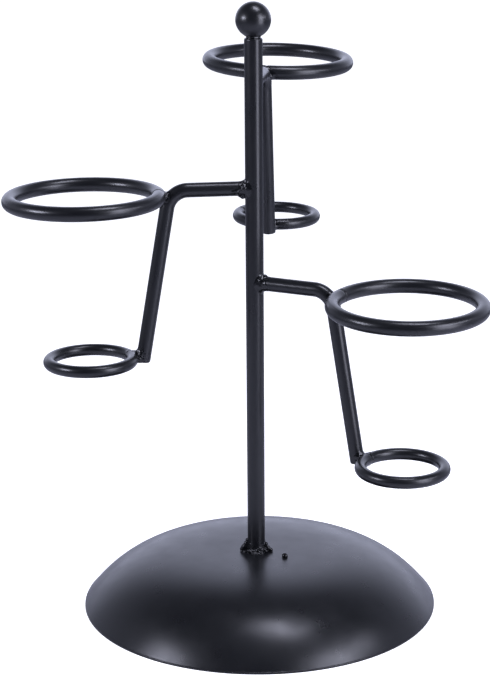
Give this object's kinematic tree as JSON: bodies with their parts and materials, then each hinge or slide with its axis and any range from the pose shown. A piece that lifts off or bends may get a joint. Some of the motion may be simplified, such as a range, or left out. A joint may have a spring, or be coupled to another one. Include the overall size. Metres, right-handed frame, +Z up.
{
  "type": "three-cone counter stand",
  "caption": "Welded steel counter stand: a domed base and post carry bent arms, each with a large ring above a small ring that hold a food cone upright.",
  "frame": {"origin": "middle of the bounding box, on the table that the base stands on", "axes": "+Z up the post; +Y towards the highest arm, which points 7.5 degrees from +Y towards +X; the middle arm points close to -X and the lowest arm between +X and -Y"},
  "size_m": [0.2674, 0.2436, 0.352],
  "materials": {
    "dome_base": "satin black powder coat",
    "post": "satin black powder coat",
    "foot_weld": "satin black powder coat",
    "ball_finial": "satin black powder coat",
    "finial_weld": "satin black powder coat",
    "low_arm": "satin black powder coat",
    "low_arm_weld": "satin black powder coat",
    "low_large_ring": "satin black powder coat",
    "low_large_ring_weld": "satin black powder coat",
    "low_small_ring": "satin black powder coat",
    "low_small_ring_weld": "satin black powder coat",
    "middle_arm": "satin black powder coat",
    "middle_arm_weld": "satin black powder coat",
    "middle_large_ring": "satin black powder coat",
    "middle_large_ring_weld": "satin black powder coat",
    "middle_small_ring": "satin black powder coat",
    "middle_small_ring_weld": "satin black powder coat",
    "high_arm": "satin black powder coat",
    "high_arm_weld": "satin black powder coat",
    "high_large_ring": "satin black powder coat",
    "high_large_ring_weld": "satin black powder coat",
    "high_small_ring": "satin black powder coat",
    "high_small_ring_weld": "satin black powder coat"
  },
  "bodies": {
    "root": {"dome_base": "dome_base", "post": "post", "foot_weld": "foot_weld", "ball_finial": "ball_finial", "finial_weld": "finial_weld", "low_arm": "low_arm", "low_arm_weld": "low_arm_weld", "low_large_ring": "low_large_ring", "low_large_ring_weld": "low_large_ring_weld", "low_small_ring": "low_small_ring", "low_small_ring_weld": "low_small_ring_weld", "middle_arm": "middle_arm", "middle_arm_weld": "middle_arm_weld", "middle_large_ring": "middle_large_ring", "middle_large_ring_weld": "middle_large_ring_weld", "middle_small_ring": "middle_small_ring", "middle_small_ring_weld": "middle_small_ring_weld", "high_arm": "high_arm", "high_arm_weld": "high_arm_weld", "high_large_ring": "high_large_ring", "high_large_ring_weld": "high_large_ring_weld", "high_small_ring": "high_small_ring", "high_small_ring_weld": "high_small_ring_weld"}
  },
  "joints": []
}
